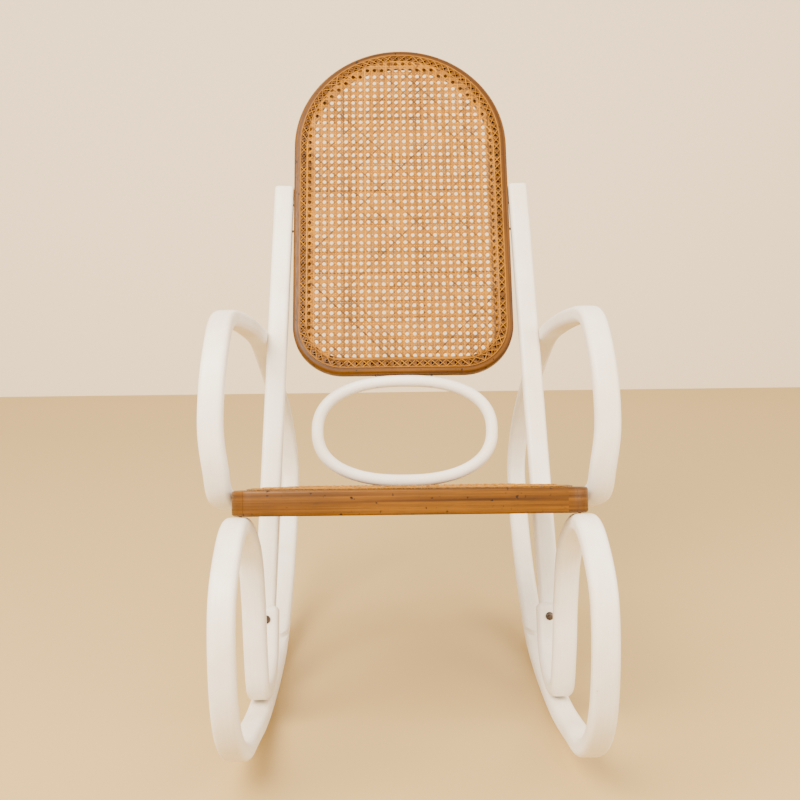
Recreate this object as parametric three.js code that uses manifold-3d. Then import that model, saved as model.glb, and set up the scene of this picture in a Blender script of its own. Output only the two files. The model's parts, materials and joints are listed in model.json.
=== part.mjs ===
// A bentwood rocking chair: two side frames bent from strip, a caned seat, a caned back and a ring.
// Millimetres, +Z up. The sitter faces -Y, and X runs across. The rockers touch the floor at Z = 0.
import * as THREE from "three";
import { mergeVertices } from "three/addons/utils/BufferGeometryUtils.js";
import Module from "manifold-3d";

const wasm = await Module();
wasm.setup();

// Clearance between two pieces that touch, and how deep a piece is housed in its neighbour.
const gap = 0.3;
const housing = 1;

// The bent strip of the side frames.
const stripWidth = 34;
const stripThickness = 24;
const stripRound = 8;

// Rockers: a long arc in front of the lowest point and a shorter one behind it.
// The lowest point lies under the chair's centre of gravity.
const rockerFrontRadius = 1560;
const rockerRearRadius = 700;
const rockerLowestY = 42;
const rockerFrontY = -330;
const rockerRearY = 130;

// Seat's outer corners at the front, half across. The side frames stand under them and the arms outside.
const seatFrontHalf = 238;
const frameInset = 15;
const postInset = 1.8;
const frontSplay = 8;

// Front loop, and the inner loop that it runs into.
const loopFrontY = -417;
const loopFrontZ = 175;
const innerLoopFrontY = -163;
const innerLoopBend = 63;
const uprightLap = 44;
const lapBoltOutset = 2;

// Rear arc of the arm strip, which is scarfed to the rocker a little ahead of a low point of its path.
const rearArcY = 457;
const rearArcZ = 262;
const scarfY = 228;
const scarfZ = 47;
const scarfSlope = 0.25;
const scarfReach = 75;
const scarfAdvance = 45;
const noseThickness = 6;
const noseLength = 34;

// Arm: front bulge, crest and the hook on the seat's side.
const armFrontY = -246;
const armFrontZ = 465;
const armCrestZ = 602;
const armOutset = 24;
const crestInset = 5;
const hookLength = 100;
const postCrossing = 252;

// Seat: a tapered ring of four rails, measured along its own slope from the front edge.
const seatTilt = THREE.MathUtils.degToRad(13.5);
const seatFrontY = -280;
const seatFrontTopZ = 395;
const seatDepth = 427;
const seatRearHalf = 208;
const seatFrontCorner = 30;
const seatRearCorner = 18;
const seatRailWidth = 46;
const seatRailHeight = 34;
const seatEdgeRound = 3;
const seatSeamInset = 20;

// Woven cane: a thin sheet up to the row of holes, with a binder that covers the row.
const caneThickness = 2;
const seatHoleInset = 22;
const backHoleInset = 13;
const binderWidth = 5;
const binderHeight = 2.4;

// Back: posts, arched frame and oval ring, all in one leaning plane.
const backLean = THREE.MathUtils.degToRad(24);
const ringSetback = 12;
const ringRod = 20;
const ringHalfWidth = 147.5;
const ringHeight = 173;
const ringSquareness = 2.35;
const backFrameHalf = 191;
const backFrameLength = 620;
const backFrameCorner = 88;
const backFrameMember = 31;
const backFrameDepth = 22;
const backFrameRound = 6;

const postTop = 536;
const postFoot = -250;
const postRound = 7;

// Fasteners: countersunk wood screws, carriage bolts with nuts, and corner dowels.
const screwHeadRadius = 4;
const screwShankRadius = 2;
const screwHeadRim = 0.6;
const screwHeadDepth = 3;
const screwTip = 3;
const boltHeadRadius = 6.5;
const boltHeadHeight = 3.5;
const boltShankRadius = 3;
const nutAcross = 12;
const nutHeight = 5;
const holeSlack = 0.2;
const dowelRadius = 5;
const dowelLength = 32;
const dowelFromInside = 12;

const paint = { color: 0xf3efe6, roughness: 0.45, metalness: 0 };
const honeyWood = { color: 0xb87224, roughness: 0.4, metalness: 0 };
const cane = { color: 0xd79a4a, roughness: 0.55, metalness: 0 };
const darkSteel = { color: 0x4a4038, roughness: 0.5, metalness: 1 };
const beech = { color: 0xc9a06a, roughness: 0.7, metalness: 0 };

const chair = new THREE.Group();
const seat = new THREE.Group();
seat.position.set(0, seatFrontY, seatFrontTopZ);
seat.rotation.x = -seatTilt;
chair.add(seat);
seat.updateMatrixWorld(true);

// The back's own origin is the rod centre at the bottom of the ring, which stands on the rear rail.
const ringFoot = seat.localToWorld(new THREE.Vector3(0, seatDepth - ringSetback, ringRod / 2 + gap));
const back = new THREE.Group();
back.position.copy(ringFoot);
back.rotation.x = Math.PI / 2 - backLean;
chair.add(back);
back.updateMatrixWorld(true);

// Half-width of the seat at a distance back from its front edge.
function seatHalfAt(depth) {
  return THREE.MathUtils.mapLinear(depth, 0, seatDepth, seatFrontHalf, seatRearHalf);
}

const postHalfAtSeat = seatHalfAt(seatDepth - ringSetback) + stripWidth / 2 - housing;
const postHalfAtTop = backFrameHalf + stripWidth / 2 + gap;
const postSlant = Math.atan((postHalfAtSeat - postHalfAtTop) / postTop);

// Centre of a post, from its height along the back's slope.
function postHalfAt(height) {
  return postHalfAtSeat - height * Math.tan(postSlant);
}

function addMesh(parent, name, geometry, look) {
  const mesh = new THREE.Mesh(geometry, new THREE.MeshStandardMaterial(look));
  mesh.name = name;
  parent.add(mesh);
  mesh.updateMatrixWorld(true);
  return mesh;
}

function toSolid(geometry, matrix) {
  const bare = geometry.clone().applyMatrix4(matrix);
  bare.deleteAttribute("normal");
  bare.deleteAttribute("uv");
  const merged = mergeVertices(bare, 1e-4);
  return new wasm.Manifold(
    new wasm.Mesh({
      numProp: 3,
      vertProperties: merged.attributes.position.array,
      triVerts: new Uint32Array(merged.index.array),
    }),
  );
}

function toGeometry(solid, matrix) {
  const made = solid.getMesh();
  const geometry = new THREE.BufferGeometry();
  geometry.setAttribute("position", new THREE.BufferAttribute(new Float32Array(made.vertProperties), 3));
  geometry.setIndex(new THREE.BufferAttribute(new Uint32Array(made.triVerts), 1));
  geometry.applyMatrix4(matrix.clone().invert());
  geometry.computeVertexNormals();
  return geometry;
}

// Cuts every tool out of a mesh. Tools are meshes too, each placed in its own group.
function cut(mesh, ...tools) {
  let solid = toSolid(mesh.geometry, mesh.matrixWorld);
  for (const tool of tools) solid = solid.subtract(toSolid(tool.geometry, tool.matrixWorld));
  mesh.geometry = toGeometry(solid, mesh.matrixWorld);
}

// A copy of a geometry cut to what lies inside a box, both in the same group.
function keepInside(geometry, low, high) {
  const size = high.clone().sub(low);
  const box = new THREE.BoxGeometry(size.x, size.y, size.z);
  box.translate(...low.clone().add(high).multiplyScalar(0.5).toArray());
  const same = new THREE.Matrix4();
  return toGeometry(toSolid(geometry, same).intersect(toSolid(box, same)), same);
}

// A tool is placed like a mesh but isn't part of the chair.
function makeTool(parent, geometry) {
  const tool = new THREE.Mesh(geometry);
  tool.matrixWorld.multiplyMatrices(parent.matrixWorld, tool.matrix);
  return tool;
}

function roundedRectangle(width, height, radius, cornerSteps) {
  const shape = new THREE.Shape();
  const corners = [
    [width / 2 - radius, height / 2 - radius, 0],
    [radius - width / 2, height / 2 - radius, Math.PI / 2],
    [radius - width / 2, radius - height / 2, Math.PI],
    [width / 2 - radius, radius - height / 2, Math.PI * 1.5],
  ];
  const points = corners.flatMap(([x, y, start]) =>
    Array.from({ length: cornerSteps + 1 }, (_, step) => {
      const angle = start + (step / cornerSteps) * (Math.PI / 2);
      return new THREE.Vector2(x + radius * Math.cos(angle), y + radius * Math.sin(angle));
    }),
  );
  shape.setFromPoints(points);
  return shape;
}

// One stretch of a longer curve, from one share of its length to another.
// Its end can rise off the whole curve by a lift, over a last part of the stretch.
class Stretch extends THREE.Curve {
  constructor(whole, from, to, lift = 0, liftFrom = 1) {
    super();
    Object.assign(this, { whole, from, to, lift, liftFrom });
  }

  getPoint(t, target = new THREE.Vector3()) {
    const share = THREE.MathUtils.lerp(this.from, this.to, t);
    const risen = THREE.MathUtils.smoothstep(share, this.liftFrom, this.to);
    this.whole.getPointAt(share, target);
    target.z += this.lift * risen;
    return target;
  }
}

// Rocker centreline height over the floor.
function rockerZ(y) {
  const run = y - rockerLowestY;
  const radius = run < 0 ? rockerFrontRadius : rockerRearRadius;
  return radius - Math.sqrt((radius - stripThickness / 2) ** 2 - run * run);
}

// Half-distance between the frames: set by the posts as far forward as the inner loop's foot, and by the
// seat's corners at its front edge. They splay a little more ahead of the inner loop.
function frameX(y) {
  const parallelTo = innerLoopFrontY + innerLoopBend;
  const forward = THREE.MathUtils.clamp((parallelTo - y) / (parallelTo - seatFrontY), 0, 1);
  const underSeat = THREE.MathUtils.lerp(postHalfAtSeat - postInset, seatFrontHalf - frameInset, forward);
  const ahead = Math.max(0, (innerLoopFrontY - y) / (innerLoopFrontY - loopFrontY));
  return underSeat + frontSplay * ahead;
}

// Points of a bend in a side frame: y, z and, where it leaves the frame's plane, x.
function framePoint(side, y, z, x = frameX(y)) {
  return new THREE.Vector3(side * x, y, z);
}

// Hook along the seat's side, up the front, over the crest and back to the post.
function armPoints(side) {
  const hookEnd = seatFrontCorner + hookLength;
  const hookBend = hookEnd - 38;
  const hookRise = 2;
  const outside = stripWidth / 2 - housing;
  const alongSeat = (depth) => {
    const place = seat.localToWorld(new THREE.Vector3(0, depth, hookRise - seatRailHeight / 2));
    return framePoint(side, place.y, place.z, seatHalfAt(depth) + outside);
  };
  const hookX = seatHalfAt(seatFrontCorner) + outside;
  const hookZ = alongSeat(hookBend).z;
  const bulgeX = seatFrontHalf + armOutset;
  const crestX = bulgeX - crestInset;
  const crossing = back.localToWorld(new THREE.Vector3(0, postCrossing, 0));
  const crossingX = postHalfAt(postCrossing) + stripWidth - housing;
  return [
    alongSeat(hookEnd),
    alongSeat(hookBend),
    framePoint(side, armFrontY + 22, hookZ + 17, hookX + 4),
    framePoint(side, armFrontY + 5, hookZ + 54, bulgeX - 4),
    framePoint(side, armFrontY, armFrontZ, bulgeX),
    framePoint(side, armFrontY + 12, armFrontZ + 62, bulgeX - 2),
    framePoint(side, armFrontY + 46, armCrestZ - 26, crestX),
    framePoint(side, armFrontY + 100, armCrestZ, crestX),
    framePoint(side, (armFrontY + crossing.y) / 2, armCrestZ - 10, crestX),
    framePoint(side, crossing.y - 75, crossing.z + 22, crossingX + 3),
    framePoint(side, crossing.y, crossing.z, crossingX),
    framePoint(side, crossing.y + 62, crossing.z - 32, crossingX - 2),
  ];
}

// Round the rear and down to where the arm is scarfed to the rocker.
function rearArcPoints(side) {
  return [
    framePoint(side, rearArcY - 58, rearArcZ + 148, frameX(rearArcY) + 14),
    framePoint(side, rearArcY - 16, rearArcZ + 80, frameX(rearArcY) + 6),
    framePoint(side, rearArcY, rearArcZ),
    framePoint(side, rearArcY - 28, rearArcZ - 62),
    framePoint(side, rearArcY - 85, rearArcZ - 126),
    framePoint(side, scarfY + 72, scarfZ + 37),
    framePoint(side, scarfY, scarfZ),
  ];
}

function rockerPoints(side) {
  const stations = 6;
  return Array.from({ length: stations + 1 }, (_, i) => {
    const y = THREE.MathUtils.lerp(rockerRearY, rockerFrontY, i / stations);
    return framePoint(side, y, rockerZ(y));
  });
}

// Lowest point of the inner loop, where it rests on the rocker.
function innerLoopFoot() {
  const y = innerLoopFrontY + innerLoopBend;
  return { y, z: rockerZ(y) + stripThickness + 2 * gap };
}

// Up round the front, under the seat, down again and up in front of the post's foot.
function loopPoints(side) {
  const corner = seat.localToWorld(new THREE.Vector3(0, 0, -seatRailHeight));
  const topZ = corner.z - stripThickness / 2 + housing - 2;
  const topY = corner.y - 8;
  const foot = innerLoopFoot();
  const bend = 0.3 * innerLoopBend;
  const beside = stripThickness + 1.5 * gap;
  const lapTop = back.localToWorld(new THREE.Vector3(0, postFoot + uprightLap, beside));
  const lapFoot = back.localToWorld(new THREE.Vector3(0, postFoot + 2, beside));
  return [
    framePoint(side, loopFrontY + 24, loopFrontZ - 67),
    framePoint(side, loopFrontY, loopFrontZ),
    framePoint(side, loopFrontY + 14, topZ - 62),
    framePoint(side, topY - 42, topZ - 9),
    framePoint(side, topY, topZ),
    framePoint(side, topY + 46, topZ - 14),
    framePoint(side, innerLoopFrontY - 21, topZ - 72),
    framePoint(side, innerLoopFrontY - 2, topZ - 145),
    framePoint(side, innerLoopFrontY + 2, foot.z + 1.4 * innerLoopBend),
    framePoint(side, innerLoopFrontY + bend, foot.z + bend),
    framePoint(side, foot.y, foot.z),
    framePoint(side, lapFoot.y - 25, lapFoot.z - 36),
    framePoint(side, lapFoot.y, lapFoot.z),
    framePoint(side, lapTop.y, lapTop.z),
  ];
}

function frameCurve(side) {
  const points = [...armPoints(side), ...rearArcPoints(side), ...rockerPoints(side), ...loopPoints(side)];
  const curve = new THREE.CatmullRomCurve3(points, false, "centripetal");
  curve.arcLengthDivisions = 900;
  return curve;
}

// Share of the curve's length at which it passes nearest to a point.
function shareNearest(curve, point) {
  const tries = 900;
  const distances = [];
  for (let i = 0; i <= tries; i += 1) distances.push(curve.getPointAt(i / tries).distanceTo(point));
  return distances.indexOf(Math.min(...distances)) / tries;
}

function sweepStrip(curve, steps) {
  const section = roundedRectangle(stripWidth, stripThickness, stripRound, 2);
  return new THREE.ExtrudeGeometry(section, { steps, extrudePath: curve, bevelEnabled: false });
}

// Places a tool on the scarf's cut: its Y runs back along the strip and its Z towards the hollow side.
function onScarf(curve, share, geometry) {
  const centre = curve.getPointAt(share);
  const along = curve.getTangentAt(share);
  const rise = Math.atan2(along.z, -along.y) + Math.atan(scarfSlope);
  geometry.rotateX(-rise);
  geometry.translate(centre.x, centre.y, centre.z);
  return makeTool(chair, geometry);
}

// A block on the hollow side (1) or the floor side (-1) of the scarf's cut.
// It reaches past the strip's end, and only a bite past the place where the cut runs out of the strip.
function scarfBlock(curve, share, hollowSide) {
  const depth = 2 * stripThickness;
  const bite = (0.65 * stripThickness) / scarfSlope;
  const length = 1.5 * scarfReach + bite;
  const block = new THREE.BoxGeometry(3 * stripWidth, length, depth);
  block.translate(0, (hollowSide * (length - 2 * bite)) / 2, (hollowSide * (depth - gap)) / 2);
  return onScarf(curve, share, block);
}

// What lies outside the long rounded nose at the arm strip's end.
function noseTool(curve, share) {
  const end = -stripThickness / 2 / scarfSlope;
  const half = stripWidth / 2 + gap;
  const shape = new THREE.Shape();
  shape.moveTo(half, end + noseLength);
  shape.absellipse(0, end + noseLength, half, noseLength, 0, -Math.PI, true);
  shape.lineTo(-stripWidth, end + noseLength);
  shape.lineTo(-stripWidth, end - scarfReach);
  shape.lineTo(stripWidth, end - scarfReach);
  shape.lineTo(stripWidth, end + noseLength);
  const options = { depth: 4 * stripThickness, bevelEnabled: false, curveSegments: 10 };
  const tool = new THREE.ExtrudeGeometry(shape, options);
  tool.translate(0, 0, -2 * stripThickness);
  return onScarf(curve, share, tool);
}

function buildSideFrame(side, word) {
  const curve = frameCurve(side);
  const length = curve.getLength();
  const scarfPoint = framePoint(side, scarfY, scarfZ);
  const scarfShare = shareNearest(curve, scarfPoint) + scarfAdvance / length;
  const reach = scarfReach / length;
  const armCurve = new Stretch(curve, 0, scarfShare + reach, noseThickness, scarfShare - 2 * reach);
  const rockerCurve = new Stretch(curve, scarfShare - reach, 1);
  const arm = addMesh(chair, "arm_" + word, sweepStrip(armCurve, 58), paint);
  const runner = addMesh(chair, "runner_" + word, sweepStrip(rockerCurve, 92), paint);
  cut(arm, scarfBlock(curve, scarfShare, -1), noseTool(curve, scarfShare));
  cut(runner, scarfBlock(curve, scarfShare, 1));
  return { arm, runner };
}

// Seat outline, inset from the outer edge, with rounded corners.
function seatOutline(inset) {
  const taper = Math.atan((seatFrontHalf - seatRearHalf) / seatDepth);
  const sideInset = inset / Math.cos(taper);
  const frontRadius = Math.max(seatFrontCorner - inset / 2, 6);
  const rearRadius = Math.max(seatRearCorner - inset / 2, 6);
  const frontX = seatHalfAt(inset) - sideInset;
  const rearX = seatHalfAt(seatDepth - inset) - sideInset;
  const frontY = inset;
  const rearY = seatDepth - inset;
  const corners = [
    { x: frontX, y: frontY, radius: frontRadius },
    { x: rearX, y: rearY, radius: rearRadius },
    { x: -rearX, y: rearY, radius: rearRadius },
    { x: -frontX, y: frontY, radius: frontRadius },
  ];
  return roundedPolygon(corners, 4);
}

// A polygon whose corners are rounded, each by its own radius, with straight sides between.
function roundedPolygon(corners, cornerSteps) {
  const points = [];
  corners.forEach((corner, i) => {
    const here = new THREE.Vector2(corner.x, corner.y);
    const last = corners[(i + corners.length - 1) % corners.length];
    const next = corners[(i + 1) % corners.length];
    const toLast = new THREE.Vector2(last.x, last.y).sub(here).normalize();
    const toNext = new THREE.Vector2(next.x, next.y).sub(here).normalize();
    const halfAngle = Math.acos(toLast.dot(toNext)) / 2;
    const reach = corner.radius / Math.tan(halfAngle);
    const middle = toLast.clone().add(toNext).setLength(corner.radius / Math.sin(halfAngle)).add(here);
    const start = toLast.clone().multiplyScalar(reach).add(here).sub(middle);
    const end = toNext.clone().multiplyScalar(reach).add(here).sub(middle);
    const turn = start.angle() - end.angle();
    const sweep = Math.atan2(Math.sin(-turn), Math.cos(-turn));
    for (let step = 0; step <= cornerSteps; step += 1) {
      const arm = start.clone().rotateAround(new THREE.Vector2(), (sweep * step) / cornerSteps);
      points.push(arm.add(middle));
    }
  });
  return points;
}

function ringShape(outer, inner) {
  const shape = new THREE.Shape(outer);
  shape.holes.push(new THREE.Path(inner));
  return shape;
}

// An extruded plate with rounded edges, from low to high along its group's Z.
function roundedPlate(shape, low, high, round) {
  const bevel = {
    depth: high - low - 2 * round,
    bevelEnabled: round > 0,
    bevelSize: round,
    bevelOffset: -round,
    bevelThickness: round,
    bevelSegments: 2,
    steps: 1,
  };
  const plate = new THREE.ExtrudeGeometry(shape, bevel);
  plate.translate(0, 0, low + round);
  return plate;
}

function buildSeat() {
  const ring = ringShape(seatOutline(0), seatOutline(seatRailWidth));
  const rails = roundedPlate(ring, -seatRailHeight, 0, seatEdgeRound);
  const far = 2 * seatFrontHalf;
  const seam = gap / 2;
  const frontSeam = seatFrontHalf - seatSeamInset;
  const rearSeam = seatRearHalf - seatSeamInset;
  const rearLine = seatDepth - seatRailWidth;
  const box = (x0, y0, x1, y1) => [new THREE.Vector3(x0, y0, -far), new THREE.Vector3(x1, y1, far)];
  const frontBox = box(-frontSeam + seam, -far, frontSeam - seam, seatRailWidth - seam);
  const rearBox = box(-rearSeam + seam, rearLine + seam, rearSeam - seam, seatDepth + far);
  const frontRail = addMesh(seat, "seat_front_rail", keepInside(rails, ...frontBox), honeyWood);
  const rearRail = addMesh(seat, "seat_rear_rail", keepInside(rails, ...rearBox), honeyWood);
  const frontTool = cutter(box(-frontSeam - seam, -far, frontSeam + seam, seatRailWidth + seam));
  const rearTool = cutter(box(-rearSeam - seam, rearLine - seam, rearSeam + seam, seatDepth + far));
  const sideRails = {};
  for (const [word, side] of [["left", -1], ["right", 1]]) {
    const half = box(Math.min(0, side * far), -far, Math.max(0, side * far), 2 * far);
    const rail = addMesh(seat, "seat_side_rail_" + word, keepInside(rails, ...half), honeyWood);
    cut(rail, frontTool, rearTool);
    sideRails[word] = rail;
  }
  const hem = seatHoleInset + binderWidth / 2;
  const caneSheet = new THREE.Shape(seatOutline(hem + gap));
  addMesh(seat, "seat_cane", roundedPlate(caneSheet, gap, gap + caneThickness, 0), cane);
  const binder = ringShape(seatOutline(seatHoleInset - binderWidth / 2), seatOutline(hem));
  addMesh(seat, "seat_cane_binder", roundedPlate(binder, gap, gap + binderHeight, 0), cane);
  return { frontRail, rearRail, sideRails };
}

// A box tool in the seat's group.
function cutter([low, high]) {
  const size = high.clone().sub(low);
  const box = new THREE.BoxGeometry(size.x, size.y, size.z);
  box.translate(...low.clone().add(high).multiplyScalar(0.5).toArray());
  return makeTool(seat, box);
}

// The whole seat grown by the gap, for housings in what is fixed to it.
function seatHousing() {
  const grown = new THREE.Shape(seatOutline(-gap));
  return makeTool(seat, roundedPlate(grown, -seatRailHeight - gap, gap, 0));
}

// Outline of the arched back frame, inset from its outer edge.
function backOutline(inset) {
  const half = backFrameHalf - inset;
  const low = ringHeight + ringRod / 2 + gap;
  const archCentre = low + backFrameLength - backFrameHalf;
  const corner = backFrameCorner - inset;
  const shape = new THREE.Shape();
  shape.moveTo(half, archCentre);
  shape.absarc(0, archCentre, half, 0, Math.PI, false);
  shape.absarc(-half + corner, low + inset + corner, corner, Math.PI, Math.PI * 1.5, false);
  shape.absarc(half - corner, low + inset + corner, corner, Math.PI * 1.5, Math.PI * 2, false);
  return shape.getPoints(10);
}

function withoutRepeats(points) {
  return points.filter((point, i) => point.distanceTo(points[(i + 1) % points.length]) > 0.5);
}

function buildBack() {
  const outer = withoutRepeats(backOutline(0));
  const inner = withoutRepeats(backOutline(backFrameMember));
  const halfDepth = backFrameDepth / 2;
  const frameBody = roundedPlate(ringShape(outer, inner), -halfDepth, halfDepth, backFrameRound);
  const frame = addMesh(back, "back_frame", frameBody, honeyWood);
  const hem = backHoleInset + binderWidth / 2;
  const caneSheet = new THREE.Shape(withoutRepeats(backOutline(hem + gap)));
  const front = halfDepth + gap;
  addMesh(back, "back_cane", roundedPlate(caneSheet, front, front + caneThickness, 0), cane);
  const binderOuter = withoutRepeats(backOutline(backHoleInset - binderWidth / 2));
  const binder = ringShape(binderOuter, withoutRepeats(backOutline(hem)));
  addMesh(back, "back_cane_binder", roundedPlate(binder, front, front + binderHeight, 0), cane);
  return frame;
}

// Rod centreline of the oval ring: an ellipse that is a little squared.
function ovalPoints(halfWidth, halfHeight) {
  const count = 44;
  const bend = (value) => Math.sign(value) * Math.abs(value) ** (2 / ringSquareness);
  return Array.from({ length: count }, (_, i) => {
    const angle = (i / count) * Math.PI * 2;
    return new THREE.Vector2(halfWidth * bend(Math.cos(angle)), halfHeight * (1 + bend(Math.sin(angle))));
  });
}

// A thin oval whose bevels swell it to a round rod.
function buildRing() {
  const rod = ringRod / 2;
  const core = 1;
  const halfHeight = ringHeight / 2;
  const outer = ovalPoints(ringHalfWidth + core, halfHeight + core).map((p) => p.setY(p.y - core));
  const inner = ovalPoints(ringHalfWidth - core, halfHeight - core).map((p) => p.setY(p.y + core));
  const options = {
    depth: 2 * core,
    bevelEnabled: true,
    bevelSize: rod - core,
    bevelThickness: rod - core,
    bevelSegments: 3,
    steps: 1,
  };
  const body = new THREE.ExtrudeGeometry(ringShape(outer, inner), options);
  body.translate(0, 0, -core);
  return addMesh(back, "lumbar_ring", body, paint);
}

// A straight post with rounded edges and ends, in the plane of the back.
function buildPost(side, word) {
  const length = postTop - postFoot;
  const outline = roundedRectangle(stripWidth, length, 1.2 * postRound, 3);
  const body = roundedPlate(outline, -stripThickness / 2, stripThickness / 2, postRound);
  body.translate(0, (postTop + postFoot) / 2, 0);
  const post = addMesh(back, "back_post_" + word, body, paint);
  post.position.x = side * postHalfAtSeat;
  post.rotation.z = side * postSlant;
  post.updateMatrixWorld(true);
  return post;
}

// A tool of a post's outline, grown by the gap.
function postHousing(post) {
  const grown = new THREE.BoxGeometry(
    stripWidth + 2 * gap,
    postTop - postFoot + 2 * gap,
    stripThickness + 2 * gap,
  );
  grown.translate(0, (postTop + postFoot) / 2, 0);
  return makeTool(post, grown);
}

// Countersunk screw along +Z: its head's flat face is at Z = 0 and its point at the given length.
// A slack makes it the hole for that screw, open above the head.
function screwBody(length, slack) {
  const head = screwHeadRadius + slack;
  const shank = screwShankRadius + slack;
  const start = slack > 0 ? -stripWidth / 3 : 0;
  const profile = [
    new THREE.Vector2(0, start),
    new THREE.Vector2(head, start),
    new THREE.Vector2(head, screwHeadRim),
    new THREE.Vector2(shank, screwHeadRim + screwHeadDepth),
    new THREE.Vector2(shank, length - screwTip + slack),
    new THREE.Vector2(0, length + slack),
  ];
  return new THREE.LatheGeometry(profile, 10).rotateX(Math.PI / 2);
}

// Carriage bolt along +Z with a domed head standing proud of Z = 0.
function boltBody(length) {
  const profile = [
    new THREE.Vector2(0, -boltHeadHeight),
    new THREE.Vector2(boltHeadRadius * 0.6, -boltHeadHeight * 0.8),
    new THREE.Vector2(boltHeadRadius, 0),
    new THREE.Vector2(boltShankRadius, 0),
    new THREE.Vector2(boltShankRadius, length),
    new THREE.Vector2(0, length),
  ];
  return new THREE.LatheGeometry(profile, 12).rotateX(Math.PI / 2);
}

function plainRod(radius, from, to, sides) {
  const profile = [
    new THREE.Vector2(0, from),
    new THREE.Vector2(radius, from),
    new THREE.Vector2(radius, to),
    new THREE.Vector2(0, to),
  ];
  return new THREE.LatheGeometry(profile, sides).rotateX(Math.PI / 2);
}

// Turns a fastener's +Z along a direction, at a place, in the chair's own frame.
function placeAlong(mesh, place, direction) {
  mesh.position.copy(place);
  mesh.quaternion.setFromUnitVectors(new THREE.Vector3(0, 0, 1), direction.clone().normalize());
  mesh.updateMatrixWorld(true);
}

function addScrew(name, place, direction, length, pieces) {
  const sunk = place.clone().addScaledVector(direction.clone().normalize(), gap);
  const screw = addMesh(chair, name, screwBody(length, 0), darkSteel);
  placeAlong(screw, sunk, direction);
  const hole = makeTool(screw, screwBody(length, holeSlack));
  for (const piece of pieces) cut(piece, hole);
}

function addDowel(name, seatPlace, pieces) {
  const dowel = addMesh(seat, name, plainRod(dowelRadius, -dowelLength / 2, dowelLength / 2, 12), beech);
  dowel.position.copy(seatPlace);
  dowel.rotation.y = Math.PI / 2;
  dowel.updateMatrixWorld(true);
  const reach = dowelLength / 2 + gap;
  const hole = makeTool(dowel, plainRod(dowelRadius + holeSlack, -reach, reach, 12));
  for (const piece of pieces) cut(piece, hole);
}

const seatPieces = buildSeat();
const backFrame = buildBack();
const ring = buildRing();
const seatTool = seatHousing();

// Directions in the chair's frame of the seat's and the back's own axes.
const seatUp = new THREE.Vector3(0, 0, 1).transformDirection(seat.matrixWorld);
const backUp = new THREE.Vector3(0, 1, 0).transformDirection(back.matrixWorld);
const backFront = new THREE.Vector3(0, 0, 1).transformDirection(back.matrixWorld);

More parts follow.
